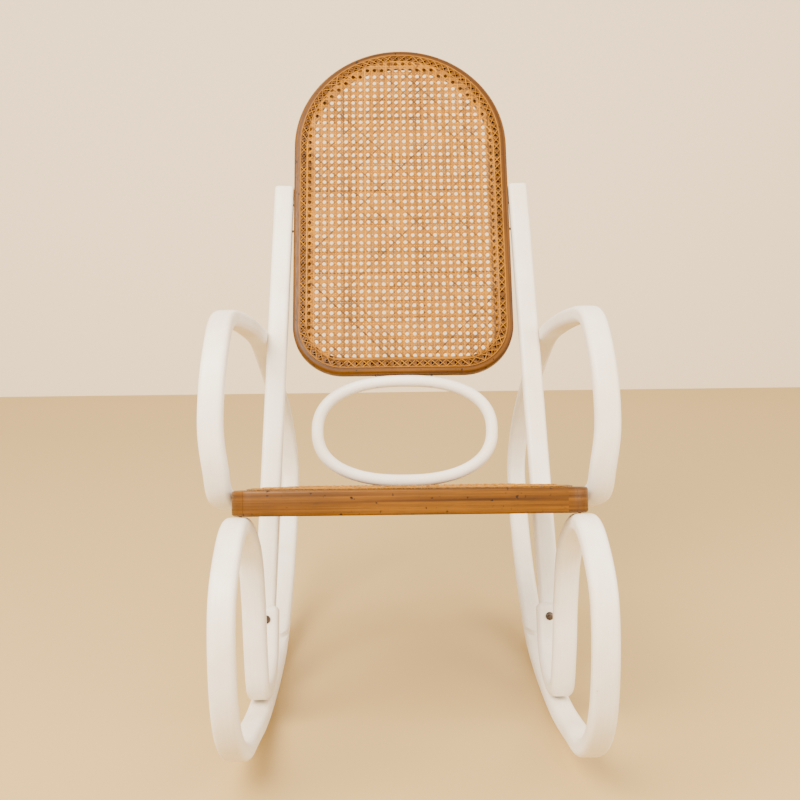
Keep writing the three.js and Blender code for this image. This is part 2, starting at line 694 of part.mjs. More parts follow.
function fastenSide(side, word, arm, runner, post) {
  const inward = new THREE.Vector3(-side, 0, 0);
  const sideRail = seatPieces.sideRails[word];
  const fromSeat = (x, y, z) => seat.localToWorld(new THREE.Vector3(side * x, y, z));
  const fromBack = (x, y, z) => back.localToWorld(new THREE.Vector3(side * x, y, z));

  // Hooked end of the arm to the seat's side, at two places.
  for (const [end, share] of [["front", 0.5], ["rear", 0.82]]) {
    const depth = seatFrontCorner + hookLength * share;
    const outerFace = seatHalfAt(depth) + stripWidth - housing;
    const place = fromSeat(outerFace, depth, -seatRailHeight / 2 - 1);
    addScrew("arm_seat_screw_" + end + "_" + word, place, inward, stripWidth + 20, [arm, sideRail]);
  }

  // Arm to post, where they cross.
  const crossOuter = postHalfAt(postCrossing) + 1.5 * stripWidth - housing;
  const crossPlace = fromBack(crossOuter, postCrossing, 0);
  addScrew("arm_post_screw_" + word, crossPlace, inward, stripWidth + 24, [arm, post]);

  // Post to the side rail.
  const postOuter = postHalfAtSeat + stripWidth / 2;
  const postScrewHeight = -(ringRod / 2 + seatRailHeight / 2) / Math.cos(backLean);
  const postPlace = fromBack(postOuter, postScrewHeight, 0);
  addScrew("post_seat_screw_" + word, postPlace, inward, stripWidth + 10, [post, sideRail]);

  // Post to the back frame, at two heights.
  for (const [end, below] of [["upper", 35], ["lower", 85]]) {
    const height = postTop - below;
    const place = fromBack(postHalfAt(height) + stripWidth / 2, height, 0);
    addScrew("post_back_screw_" + end + "_" + word, place, inward, stripWidth + 18, [post, backFrame]);
  }

  // Top of the front loop to the seat's corner, from below.
  const cornerX = frameX(seatFrontY) - 3;
  const loopUnder = fromSeat(cornerX, 0.8 * seatFrontCorner, housing - seatRailHeight - stripThickness);
  addScrew("loop_seat_screw_" + word, loopUnder, seatUp, stripThickness + 18, [runner, sideRail]);

  // Inner loop to the rocker that it rests on, driven down from inside the loop.
  const foot = innerLoopFoot();
  const loopInside = framePoint(side, foot.y, foot.z + stripThickness / 2);
  const down = new THREE.Vector3(0, 0, -1);
  addScrew("loop_runner_screw_" + word, loopInside, down, 1.5 * stripThickness, [runner]);

  // Bolt through the upright and the post's foot, with its nut behind.
  const lapHeight = postFoot + uprightLap / 2;
  const lapX = frameX(0) + lapBoltOutset;
  const faceOut = 1.5 * stripThickness + gap;
  const through = 2 * stripThickness + gap;
  const bolt = addMesh(chair, "lap_bolt_" + word, boltBody(through + nutHeight + 3), darkSteel);
  placeAlong(bolt, fromBack(lapX, lapHeight, faceOut + gap), backFront.clone().negate());
  const boltHole = makeTool(bolt, plainRod(boltShankRadius + holeSlack, -20, 2 * through, 12));
  cut(runner, boltHole);
  cut(post, boltHole);
  const nutShape = new THREE.Shape();
  nutShape.setFromPoints(hexagon(nutAcross));
  nutShape.holes.push(new THREE.Path(circlePoints(boltShankRadius + holeSlack, 12)));
  const nut = addMesh(chair, "lap_nut_" + word, roundedPlate(nutShape, 0, nutHeight, 0), darkSteel);
  placeAlong(nut, fromBack(lapX, lapHeight, -stripThickness / 2 - gap), backFront.clone().negate());

  // Ring to the back frame above it, and to the seat's rear rail below it.
  const ringScrewX = ringHalfWidth * 0.32;
  const topInside = fromBack(ringScrewX, ringHeight - ringRod / 2 + screwHeadRim, 0);
  addScrew("ring_back_screw_" + word, topInside, backUp, ringRod + 20, [ring, backFrame]);
  const railUnder = fromSeat(ringScrewX, seatDepth - ringSetback, -seatRailHeight);
  const ringPieces = [ring, seatPieces.rearRail];
  addScrew("ring_seat_screw_" + word, railUnder, seatUp, seatRailHeight + 13, ringPieces);

  // Dowels across the seat's seams.
  const dowelY = seatRailWidth - dowelFromInside;
  const dowelZ = -seatRailHeight / 2;
  const frontX = side * (seatFrontHalf - seatSeamInset);
  const rearX = side * (seatRearHalf - seatSeamInset);
  const frontPieces = [seatPieces.frontRail, sideRail];
  const rearPieces = [seatPieces.rearRail, sideRail];
  addDowel("seat_dowel_front_" + word, new THREE.Vector3(frontX, dowelY, dowelZ), frontPieces);
  addDowel("seat_dowel_rear_" + word, new THREE.Vector3(rearX, seatDepth - dowelY, dowelZ), rearPieces);
}

function circlePoints(radius, count) {
  return Array.from({ length: count }, (_, i) => {
    const angle = (i / count) * Math.PI * 2;
    return new THREE.Vector2(radius * Math.cos(angle), radius * Math.sin(angle));
  });
}

// A hexagon of a given width across its flats.
function hexagon(across) {
  return circlePoints(across / Math.sqrt(3), 6);
}

for (const [word, side] of [["left", -1], ["right", 1]]) {
  const { arm, runner } = buildSideFrame(side, word);
  const post = buildPost(side, word);
  cut(runner, seatTool, postHousing(post));
  cut(arm, seatTool, postHousing(post));
  cut(post, seatTool);
  fastenSide(side, word, arm, runner, post);
}

// The part's origin is the centre of its footprint, on the floor.
chair.updateMatrixWorld(true);
const box = new THREE.Box3().setFromObject(chair, true);
const part = new THREE.Group();
chair.position.set(-(box.min.x + box.max.x) / 2, -(box.min.y + box.max.y) / 2, -box.min.z);
part.add(chair);

export default part;
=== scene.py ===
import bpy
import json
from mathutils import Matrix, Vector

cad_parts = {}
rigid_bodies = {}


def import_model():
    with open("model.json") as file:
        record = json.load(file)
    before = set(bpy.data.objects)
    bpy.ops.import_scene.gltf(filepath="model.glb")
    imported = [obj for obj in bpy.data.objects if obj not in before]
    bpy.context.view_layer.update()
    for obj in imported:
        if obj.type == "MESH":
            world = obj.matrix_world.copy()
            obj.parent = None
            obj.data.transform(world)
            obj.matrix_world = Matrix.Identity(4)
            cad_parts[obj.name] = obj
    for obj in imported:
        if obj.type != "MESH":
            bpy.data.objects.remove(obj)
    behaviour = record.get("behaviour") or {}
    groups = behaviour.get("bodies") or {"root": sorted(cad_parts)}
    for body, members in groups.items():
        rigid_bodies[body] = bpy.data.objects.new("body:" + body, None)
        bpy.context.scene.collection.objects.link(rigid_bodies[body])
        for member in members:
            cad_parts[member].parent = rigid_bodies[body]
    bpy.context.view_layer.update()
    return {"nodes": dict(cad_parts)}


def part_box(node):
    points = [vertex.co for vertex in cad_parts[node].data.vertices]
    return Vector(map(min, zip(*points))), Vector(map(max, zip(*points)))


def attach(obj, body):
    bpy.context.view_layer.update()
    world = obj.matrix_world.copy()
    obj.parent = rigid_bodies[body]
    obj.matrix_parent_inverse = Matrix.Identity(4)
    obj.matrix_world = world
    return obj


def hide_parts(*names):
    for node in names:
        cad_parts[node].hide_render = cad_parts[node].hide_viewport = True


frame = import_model()

import json
import math
import random

import bpy
import numpy as np
from mathutils import Matrix, Vector

random.seed(31)
noise = np.random.default_rng(31)

# overall sizes in mm, shared by several pieces
seat = {"tilt": 13.5, "frontY": -280, "frontTop": 395, "depth": 427, "frontHalf": 238, "rearHalf": 208,
        "frontCorner": 30, "rearCorner": 18, "rail": 46, "height": 34, "seamInset": 20}
back = {"lean": 24, "postTop": 536, "postFoot": -250, "frameHalf": 191, "frameLength": 620, "corner": 88,
        "member": 31, "depth": 22}
ring = {"setback": 12, "rod": 20, "halfWidth": 147.5, "height": 173, "square": 2.35}
strip = {"width": 34, "thick": 24, "round": 8, "endRound": 9}
fit = {"gap": 0.3, "housing": 1.0}

seatSlope = Matrix.Rotation(-math.radians(seat["tilt"]), 4, "X")
seatAxes = Matrix.Translation((0, seat["frontY"], seat["frontTop"])) @ seatSlope
ringFoot = seatAxes @ Vector((0, seat["depth"] - ring["setback"], ring["rod"] / 2 + fit["gap"]))
backAxes = Matrix.Translation(ringFoot) @ Matrix.Rotation(math.pi / 2 - math.radians(back["lean"]), 4, "X")
chairAxes = Matrix.Identity(4)

# the front dowel ties these axes to the part's own origin
dowelLow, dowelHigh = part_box("seat_dowel_front_right")
dowelInside = 12  # from the rail's inner edge
dowelAt = (seat["frontHalf"] - seat["seamInset"], seat["rail"] - dowelInside, -seat["height"] / 2)
dowelHere = seatAxes @ Vector(dowelAt)
toPart = Matrix.Scale(0.001, 4) @ Matrix.Translation((dowelLow + dowelHigh) * 500 - dowelHere)


def seatHalfAt(depth):
    return seat["frontHalf"] + (seat["rearHalf"] - seat["frontHalf"]) * depth / seat["depth"]


postHalfAtSeat = seatHalfAt(seat["depth"] - ring["setback"]) + strip["width"] / 2 - fit["housing"]
postHalfAtTop = back["frameHalf"] + strip["width"] / 2 + fit["gap"]
postSlant = math.atan((postHalfAtSeat - postHalfAtTop) / back["postTop"])


def postHalfAt(height):
    return postHalfAtSeat - height * math.tan(postSlant)


# mixes of two colours: plain, and one that darkens by the other
plainMix = {"data_type": "RGBA"}
darkenMix = {"data_type": "RGBA", "blend_type": "MULTIPLY"}


# sRGB hex to linear
def fromHex(code):
    parts = [int(code[i:i + 2], 16) / 255 for i in (0, 2, 4)]
    return tuple(c / 12.92 if c <= 0.04045 else ((c + 0.055) / 1.055) ** 2.4 for c in parts) + (1.0,)


def addNode(tree, kind, settings=None, inputs=None, stops=None):
    made = tree.nodes.new(kind)
    for key, value in (settings or {}).items():
        setattr(made, key, value)
    for key, value in (inputs or {}).items():
        if isinstance(value, bpy.types.NodeSocket):
            tree.links.new(value, made.inputs[key])
        else:
            made.inputs[key].default_value = value
    for i, (at, colour) in enumerate(stops or []):
        ramp = made.color_ramp.elements
        stop = ramp[i] if i < 2 else ramp.new(at)
        stop.position = at
        stop.color = colour if isinstance(colour, tuple) else (colour, colour, colour, 1)
    return made


def startMaterial(name):
    made = bpy.data.materials.new(name)
    made.use_nodes = True
    made.node_tree.nodes.clear()
    return made, made.node_tree


def finishMaterial(tree, inputs):
    skin = addNode(tree, "ShaderNodeBsdfPrincipled", inputs=inputs)
    addNode(tree, "ShaderNodeOutputMaterial", inputs={"Surface": skin.outputs[0]})


# noise pulled out along the member: across and along are its sizes in metres
def streaks(tree, across, along, detail=3.0, offset=0.0):
    uv = addNode(tree, "ShaderNodeUVMap", {"uv_map": "grain"})
    stretched = addNode(tree, "ShaderNodeMapping", inputs={
        "Vector": uv.outputs[0], "Location": (offset, offset * 0.37, 0), "Scale": (1 / across, 1 / along, 1)})
    return addNode(tree, "ShaderNodeTexNoise", {"noise_dimensions": "2D"}, {
        "Vector": stretched.outputs[0], "Scale": 1.0, "Detail": detail, "Roughness": 0.55}).outputs[0]


def blotches(tree, size, detail=3.0):
    spot = addNode(tree, "ShaderNodeTexCoord")
    return addNode(tree, "ShaderNodeTexNoise", inputs={
        "Vector": spot.outputs["Object"], "Scale": 1 / size, "Detail": detail, "Roughness": 0.6}).outputs[0]


# geometry in millimetres
def addObject(name, points, faces, uvs=None, tones=None, axes=chairAxes, sharpAngle=38):
    place = np.array(toPart @ axes)
    mesh = bpy.data.meshes.new(name)
    mesh.from_pydata(np.asarray(points, float) @ place[:3, :3].T + place[:3, 3], [], faces)
    if uvs is not None:
        mesh.uv_layers.new(name="grain").data.foreach_set("uv", (np.asarray(uvs, float) * 0.001).ravel())
    if tones is not None:
        mesh.attributes.new("tone", "FLOAT", "POINT").data.foreach_set("value", np.asarray(tones, np.float32))
    made = bpy.data.objects.new(name, mesh)
    bpy.context.scene.collection.objects.link(made)
    smooth(made, sharpAngle)
    return made


def smooth(obj, sharpAngle=38):
    obj.data.shade_smooth()
    obj.data.set_sharp_from_angle(angle=math.radians(sharpAngle))


# skin over a grid of points: rows run along the piece, columns run round it, and the grain follows
def skin(grid, loop=False, first=0):
    rows, cols = grid.shape[:2]
    i, j = np.meshgrid(np.arange(rows if loop else rows - 1), np.arange(cols), indexing="ij")
    k, l = (i + 1) % rows, (j + 1) % cols
    quads = np.stack([i * cols + j, i * cols + l, k * cols + l, k * cols + j], -1).reshape(-1, 4) + first
    wrap = np.concatenate([grid, grid[:, :1]], 1)
    across = np.concatenate([[0], np.cumsum(np.linalg.norm(np.diff(wrap[rows // 2], axis=0), axis=1))])
    spine = grid.mean(1)
    spine = np.concatenate([spine, spine[:1]]) if loop else spine
    along = np.concatenate([[0], np.cumsum(np.linalg.norm(np.diff(spine, axis=0), axis=1))])
    corners = ((j, i), (j + 1, i), (j + 1, i + 1), (j, i + 1))
    uvs = np.stack([np.stack([across[a], along[b]], -1) for a, b in corners], 2).reshape(-1, 2)
    faces = quads.tolist()
    if not loop:
        ends = [np.arange(cols)[::-1], np.arange(cols) + (rows - 1) * cols]
        faces += [(end + first).tolist() for end in ends]
        uvs = np.concatenate([uvs] + [np.zeros((cols, 2)) + (0, along[row]) for row in (0, -1)])
    return grid.reshape(-1, 3), faces, uvs


def joinSkins(skins):
    points = np.concatenate([s[0] for s in skins])
    faces = [face for s in skins for face in s[1]]
    return points, faces, np.concatenate([s[2] for s in skins])


def roundedSection(width, height, radius, inset=0.0, steps=5):
    w, h, r = width / 2 - inset, height / 2 - inset, max(radius - inset, 0.5)
    turns = [(k, (k + i / steps) * math.pi / 2) for k in range(4) for i in range(steps + 1)]
    signs = ((1, 1), (-1, 1), (-1, -1), (1, -1))
    return np.array([
        (signs[k][0] * (w - r) + r * math.cos(a), signs[k][1] * (h - r) + r * math.sin(a)) for k, a in turns])


def sweep(centres, sides, ups, sections):
    return centres[:, None] + sections[..., :1] * sides[:, None] + sections[..., 1:] * ups[:, None]


def unit(vectors):
    return vectors / np.linalg.norm(vectors, axis=-1, keepdims=True)


def alongBy(points, distances):
    run = np.concatenate([[0], np.cumsum(np.linalg.norm(np.diff(points, axis=0), axis=1))])
    return np.stack([np.interp(distances, run, points[:, i]) for i in range(points.shape[1])], -1)


def lengthOf(points):
    return np.linalg.norm(np.diff(points, axis=0), axis=1).sum()


# a closed outline in even steps, with the normals that point into it
def evenOutline(points, count):
    loop = np.concatenate([points, points[:1]])
    even = alongBy(loop, np.linspace(0, lengthOf(loop), count, endpoint=False))
    run = np.roll(even, -1, 0) - np.roll(even, 1, 0)
    return even, unit(np.stack([-run[:, 1], run[:, 0]], -1))


def carve(obj, cutters, operation="DIFFERENCE", sharpAngle=38):
    for cutter in cutters:
        change = obj.modifiers.new("cut", "BOOLEAN")
        change.operation = operation
        change.solver = "MANIFOLD"
        change.object = cutter
    cut = bpy.data.meshes.new_from_object(obj.evaluated_get(bpy.context.evaluated_depsgraph_get()))
    obj.modifiers.clear()
    obj.data = cut
    smooth(obj, sharpAngle)


def boxTool(low, high, axes, twist=None):
    xs, ys, zs = zip(low, high)
    corners = np.array([(x, y, z) for x in xs for y in ys for z in zs], float)
    faces = [(0, 1, 3, 2), (4, 6, 7, 5), (0, 4, 5, 1), (2, 3, 7, 6), (0, 2, 6, 4), (1, 5, 7, 3)]
    return addObject("tool", corners, faces, axes=axes if twist is None else axes @ twist)


def plateTool(outline, low, high, axes):
    grid = np.stack([np.column_stack([outline, np.full(len(outline), z)]) for z in (low, high)])
    return addObject("tool", *skin(grid), axes=axes)


def addLathe(name, profile, sides, axes):
    turns = np.arange(sides) * 2 * math.pi / sides
    grid = np.array([[(r * math.cos(a), r * math.sin(a), z) for a in turns] for r, z in profile])
    return addObject(name, *skin(grid), axes=axes)


def dress(obj, nodes, material):
    obj.data.materials.clear()
    obj.data.materials.append(material)
    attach(obj, "root")
    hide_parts(*nodes)
    return obj


paintLook = {"fresh": "F6F1E7", "old": "E9E0CF", "bare": "D8C3A0", "brushWidth": 0.0025, "brushLength": 0.05,
             "ageingSize": 0.14, "chipSize": 0.012, "bumpHeight": 0.00012, "roughLow": 0.36,
             "roughHigh": 0.55}


# brushed satin paint over bent beech: soft sheen, brush lines that follow every bend
# real brush lines are under 1 mm, drawn coarser here so that they show
def makePaint(look):
    made, tree = startMaterial("white paint, brushed by hand")
    brush = streaks(tree, look["brushWidth"], look["brushLength"])
    broad = streaks(tree, look["brushWidth"] * 5, look["brushLength"] * 4, 2.0, 3.1)
    ageing = blotches(tree, look["ageingSize"])
    tint = addNode(tree, "ShaderNodeValToRGB", inputs={0: ageing}, stops=[
        (0.32, fromHex(look["old"])), (0.62, fromHex(look["fresh"]))])
    lines = addNode(tree, "ShaderNodeValToRGB", inputs={0: brush}, stops=[(0.25, 0.955), (0.6, 1.0)])
    brushed = addNode(tree, "ShaderNodeMix", darkenMix, {0: 1.0, 6: tint.outputs[0], 7: lines.outputs[0]})
    spots = blotches(tree, look["chipSize"], 6.0)
    chips = addNode(tree, "ShaderNodeValToRGB", inputs={0: spots}, stops=[(0.735, 0.0), (0.75, 1.0)])
    chipped = addNode(tree, "ShaderNodeMix", plainMix, {
        0: chips.outputs[0], 6: brushed.outputs[2], 7: fromHex(look["bare"])})
    rough = addNode(tree, "ShaderNodeMapRange", inputs={
        0: broad, 1: 0.3, 2: 0.7, 3: look["roughLow"], 4: look["roughHigh"]})
    relief = addNode(tree, "ShaderNodeMath", {"operation": "ADD"}, {0: brush, 1: broad})
    bump = addNode(tree, "ShaderNodeBump", inputs={
        "Strength": 0.55, "Distance": look["bumpHeight"], "Height": relief.outputs[0]})
    finishMaterial(tree, {"Base Color": chipped.outputs[2], "Roughness": rough.outputs[0], "IOR": 1.5,
                          "Normal": bump.outputs[0]})
    return made


woodLook = {"light": "784A00", "middle": "5C3600", "dark": "3E2200", "ding": "140A03", "ringWidth": 0.005,
            "ringLength": 0.4, "poreWidth": 0.0016, "poreLength": 0.02, "patchSize": 0.09, "dingSize": 0.008,
            "bumpHeight": 0.00015}


# honey-stained wood under thin varnish: long warm grain, small dark dings, a low sheen
# pores are really about 0.2 mm wide, drawn coarser so that they show
def makeWood(look):
    made, tree = startMaterial("honey wood, stained and varnished")
    rings = streaks(tree, look["ringWidth"], look["ringLength"], 4.0)
    pores = streaks(tree, look["poreWidth"], look["poreLength"], 2.0, 5.3)
    patches = blotches(tree, look["patchSize"])
    grain = addNode(tree, "ShaderNodeValToRGB", inputs={0: rings}, stops=[
        (0.25, fromHex(look["dark"])), (0.75, fromHex(look["light"])), (0.5, fromHex(look["middle"]))])
    darker = addNode(tree, "ShaderNodeValToRGB", inputs={0: pores}, stops=[(0.3, 0.72), (0.5, 1.0)])
    pored = addNode(tree, "ShaderNodeMix", darkenMix, {0: 0.6, 6: grain.outputs[0], 7: darker.outputs[0]})
    shade = addNode(tree, "ShaderNodeValToRGB", inputs={0: patches}, stops=[(0.35, 0.78), (0.65, 1.0)])
    toned = addNode(tree, "ShaderNodeMix", darkenMix, {0: 0.8, 6: pored.outputs[2], 7: shade.outputs[0]})
    knocks = blotches(tree, look["dingSize"], 3.0)
    dings = addNode(tree, "ShaderNodeValToRGB", inputs={0: knocks}, stops=[(0.65, 0.0), (0.7, 1.0)])
    dinged = addNode(tree, "ShaderNodeMix", plainMix, {
        0: dings.outputs[0], 6: toned.outputs[2], 7: fromHex(look["ding"])})
    rough = addNode(tree, "ShaderNodeMapRange", inputs={0: pores, 1: 0.3, 2: 0.7, 3: 0.5, 4: 0.32})
    relief = addNode(tree, "ShaderNodeMath", {"operation": "SUBTRACT"}, {0: pores, 1: dings.outputs[0]})
    bump = addNode(tree, "ShaderNodeBump", inputs={
        "Strength": 0.5, "Distance": look["bumpHeight"], "Height": relief.outputs[0]})
    finishMaterial(tree, {"Base Color": dinged.outputs[2], "Roughness": rough.outputs[0], "IOR": 1.5,
                          "Specular IOR Level": 0.2, "Coat Weight": 0.02, "Coat Roughness": 0.2,
                          "Normal": bump.outputs[0]})
    return made


caneLook = {"pale": "B87C00", "gold": "986200", "red": "5C3600", "fibreWidth": 0.0009, "fibreLength": 0.03,
            "patchSize": 0.05, "bumpHeight": 0.0001}


# split cane with its skin outside: each strand has its own tone, fine fibres and a dull shine
# fibres are really about 0.2 mm wide, drawn coarser so that they show
def makeCane(look, name, deeper=1.0):
    made, tree = startMaterial(name)
    tone = addNode(tree, "ShaderNodeAttribute", {"attribute_name": "tone"})
    fibre = streaks(tree, look["fibreWidth"], look["fibreLength"], 2.0)
    patches = blotches(tree, look["patchSize"])
    mixed = addNode(tree, "ShaderNodeMath", {"operation": "MULTIPLY_ADD"}, {
        0: patches, 1: 0.4, 2: tone.outputs["Fac"]})
    hue = addNode(tree, "ShaderNodeValToRGB", inputs={0: mixed.outputs[0]}, stops=[
        (0.05, fromHex(look["red"])), (0.62, fromHex(look["pale"])), (0.3, fromHex(look["gold"]))])
    lines = addNode(tree, "ShaderNodeValToRGB", inputs={0: fibre}, stops=[
        (0.3, 0.72 * deeper), (0.62, deeper)])
    strand = addNode(tree, "ShaderNodeMix", darkenMix, {0: 0.75, 6: hue.outputs[0], 7: lines.outputs[0]})
    rough = addNode(tree, "ShaderNodeMapRange", inputs={0: fibre, 1: 0.3, 2: 0.7, 3: 0.6, 4: 0.42})
    bump = addNode(tree, "ShaderNodeBump", inputs={
        "Strength": 0.5, "Distance": look["bumpHeight"], "Height": fibre})
    finishMaterial(tree, {"Base Color": strand.outputs[2], "Roughness": rough.outputs[0], "IOR": 1.5,
                          "Specular IOR Level": 0.25, "Normal": bump.outputs[0]})
    return made


steelLook = {"metal": "6E655C", "rust": "3A2A1E", "scratch": 0.004, "bumpHeight": 0.00005}


# darkened steel: brown-black skin rubbed brighter in spots
def makeSteel(look):
    made, tree = startMaterial("steel, darkened and handled")
    skinTone = blotches(tree, look["scratch"], 5.0)
    rubbed = addNode(tree, "ShaderNodeValToRGB", inputs={0: skinTone}, stops=[
        (0.38, fromHex(look["rust"])), (0.66, fromHex(look["metal"]))])
    metal = addNode(tree, "ShaderNodeMapRange", inputs={0: skinTone, 1: 0.35, 2: 0.6, 3: 0.6, 4: 1.0})
    rough = addNode(tree, "ShaderNodeMapRange", inputs={0: skinTone, 1: 0.35, 2: 0.65, 3: 0.62, 4: 0.34})
    bump = addNode(tree, "ShaderNodeBump", inputs={
        "Strength": 0.4, "Distance": look["bumpHeight"], "Height": skinTone})
    finishMaterial(tree, {"Base Color": rubbed.outputs[0], "Metallic": metal.outputs[0],
                          "Roughness": rough.outputs[0], "Normal": bump.outputs[0]})
    return made


beechLook = {"pale": "D9B484", "fleck": "B68A58", "fleckSize": 0.003, "bumpHeight": 0.00008}


# turned beech left bare: dry pale wood with short flecks
def makeBeech(look):
    made, tree = startMaterial("beech, turned and left bare")
    flecks = blotches(tree, look["fleckSize"], 4.0)
    hue = addNode(tree, "ShaderNodeValToRGB", inputs={0: flecks}, stops=[
        (0.35, fromHex(look["fleck"])), (0.6, fromHex(look["pale"]))])
    rough = addNode(tree, "ShaderNodeMapRange", inputs={0: flecks, 1: 0.3, 2: 0.7, 3: 0.8, 4: 0.65})
    bump = addNode(tree, "ShaderNodeBump", inputs={
        "Strength": 0.4, "Distance": look["bumpHeight"], "Height": flecks})
    finishMaterial(tree, {"Base Color": hue.outputs[0], "Roughness": rough.outputs[0], "IOR": 1.5,
                          "Normal": bump.outputs[0]})
    return made


paint = makePaint(paintLook)
wood = makeWood(woodLook)
cane = makeCane(caneLook, "cane, split and woven")
binderCane = makeCane(caneLook, "cane, split and stitched", 0.92)
steel = makeSteel(steelLook)
beech = makeBeech(beechLook)
print("materials ready")

# side frames: one strip for the arm, one for rocker and loops
rocker = {"frontRadius": 1560, "rearRadius": 700, "lowestY": 42, "frontY": -330, "rearY": 130,
          "frontInset": 15, "postInset": 1.8, "splay": 8}
loop = {"frontY": -417, "frontZ": 175, "innerY": -163, "innerBend": 63, "lap": 44, "boltOut": 2}
arm = {"frontY": -246, "frontZ": 465, "crestZ": 602, "outset": 24, "crestIn": 5, "hook": 100, "crossing": 252}
rearArc = {"y": 457, "z": 262}
scarf = {"y": 228, "z": 47, "slope": 0.25, "reach": 75, "advance": 45, "noseThick": 6, "noseLong": 34,
         "slit": 0.06, "block": 60}
frameMesh = {"step": 6.0}


def rockerZ(y):
    run = y - rocker["lowestY"]
    radius = rocker["frontRadius"] if run < 0 else rocker["rearRadius"]
    return radius - math.sqrt((radius - strip["thick"] / 2) ** 2 - run * run)


# half the distance between the frames, a little wider towards the front
def frameX(y):
    behind, front = postHalfAtSeat - rocker["postInset"], seat["frontHalf"] - rocker["frontInset"]
    parallelTo = loop["innerY"] + loop["innerBend"]
    forward = min(max((parallelTo - y) / (parallelTo - seat["frontY"]), 0), 1)
    ahead = max(0, (loop["innerY"] - y) / (loop["innerY"] - loop["frontY"]))
    return behind + (front - behind) * forward + rocker["splay"] * ahead


def inPlane(y, z, x=None):
    return (frameX(y) if x is None else x, y, z)


# hook at the seat's side, front bulge, crest, post
def armPoints():
    hookEnd = seat["frontCorner"] + arm["hook"]
    sideways = strip["width"] / 2 - fit["housing"]

    def besideSeat(depth):
        place = seatAxes @ Vector((0, depth, 2 - seat["height"] / 2))
        return inPlane(place.y, place.z, seatHalfAt(depth) + sideways)

    hookX, hookZ = seatHalfAt(seat["frontCorner"]) + sideways, besideSeat(hookEnd - 38)[2]
    crossing = backAxes @ Vector((0, arm["crossing"], 0))
    crossX = postHalfAt(arm["crossing"]) + strip["width"] - fit["housing"]
    y, crest = arm["frontY"], arm["crestZ"]
    bulge = seat["frontHalf"] + arm["outset"]
    top = bulge - arm["crestIn"]
    return [besideSeat(hookEnd), besideSeat(hookEnd - 38), inPlane(y + 22, hookZ + 17, hookX + 4),
            inPlane(y + 5, hookZ + 54, bulge - 4), inPlane(y, arm["frontZ"], bulge),
            inPlane(y + 12, arm["frontZ"] + 62, bulge - 2), inPlane(y + 46, crest - 26, top),
            inPlane(y + 100, crest, top), inPlane((y + crossing.y) / 2, crest - 10, top),
            inPlane(crossing.y - 75, crossing.z + 22, crossX + 3), inPlane(crossing.y, crossing.z, crossX),
            inPlane(crossing.y + 62, crossing.z - 32, crossX - 2)]


def rearPoints():
    y, z, x = rearArc["y"], rearArc["z"], frameX(rearArc["y"])
    return [inPlane(y - 58, z + 148, x + 14), inPlane(y - 16, z + 80, x + 6), inPlane(y, z),
            inPlane(y - 28, z - 62), inPlane(y - 85, z - 126), inPlane(scarf["y"] + 72, scarf["z"] + 37),
            inPlane(scarf["y"], scarf["z"])]


# lowest point of the inner loop, resting on the rocker
def loopFoot():
    y = loop["innerY"] + loop["innerBend"]
    return y, rockerZ(y) + strip["thick"] + 2 * fit["gap"]


# front loop, under the seat's corner, inner loop and up beside the post's foot
def loopPoints():
    corner = seatAxes @ Vector((0, 0, -seat["height"]))
    topZ, topY = corner.z - strip["thick"] / 2 + fit["housing"] - 2, corner.y - 8
    footY, footZ = loopFoot()
    wide = loop["innerBend"]
    away = strip["thick"] + 1.5 * fit["gap"]
    lapTop = backAxes @ Vector((0, back["postFoot"] + loop["lap"], away))
    lapFoot = backAxes @ Vector((0, back["postFoot"] + 2, away))
    y, z, inner = loop["frontY"], loop["frontZ"], loop["innerY"]
    return [inPlane(y + 24, z - 67), inPlane(y, z), inPlane(y + 14, topZ - 62), inPlane(topY - 42, topZ - 9),
            inPlane(topY, topZ), inPlane(topY + 46, topZ - 14), inPlane(inner - 21, topZ - 72),
            inPlane(inner - 2, topZ - 145), inPlane(inner + 2, footZ + 1.4 * wide),
            inPlane(inner + 0.3 * wide, footZ + 0.3 * wide), inPlane(footY, footZ),
            inPlane(lapFoot.y - 25, lapFoot.z - 36), inPlane(lapFoot.y, lapFoot.z),
            inPlane(lapTop.y, lapTop.z)]


def smoothCurve(points, steps=48):
    p = [np.array(q, float) for q in points]
    p = [2 * p[0] - p[1]] + p + [2 * p[-1] - p[-2]]
    t = np.linspace(0, 1, steps, endpoint=False)[:, None]
    made = []
    for a, b, c, d in zip(p, p[1:], p[2:], p[3:]):
        u, v, w = (np.linalg.norm(q) ** 0.5 for q in (b - a, c - b, d - c))
        leave = ((b - a) / u - (c - a) / (u + v) + (c - b) / v) * v
        arrive = ((c - b) / v - (d - b) / (v + w) + (d - c) / w) * v
        made.append((2 * t**3 - 3 * t**2 + 1) * b + (t**3 - 2 * t**2 + t) * leave
                    + (3 * t**2 - 2 * t**3) * c + (t**3 - t**2) * arrive)
    return np.concatenate(made + [p[-2][None]])


def stripSkin(path, start, stop, roundStart, roundStop):
    r = strip["endRound"]
    turns = np.radians(np.arange(0, 91, 15))
    inner = np.arange(start + (r if roundStart else 0), stop - (r if roundStop else 0), frameMesh["step"])
    heads = start + r * (1 - np.cos(turns)) if roundStart else np.array([])
    tails = stop - r * (1 - np.cos(turns[::-1])) if roundStop else np.array([stop])
    at = np.concatenate([heads[:-1], inner, tails])
    insets = np.concatenate([r * (1 - np.sin(turns))[:-1] if roundStart else [], np.zeros(len(inner)),
                             r * (1 - np.sin(turns[::-1])) if roundStop else [0]])
    centres = alongBy(path, at)
    run = unit(alongBy(path, at + 1.5) - alongBy(path, at - 1.5))
    sides = unit(np.array([1.0, 0, 0]) - run[:, :1] * run)
    sections = np.array([roundedSection(strip["width"], strip["thick"], strip["round"], d) for d in insets])
    return skin(sweep(centres, sides, np.cross(run, sides), sections))


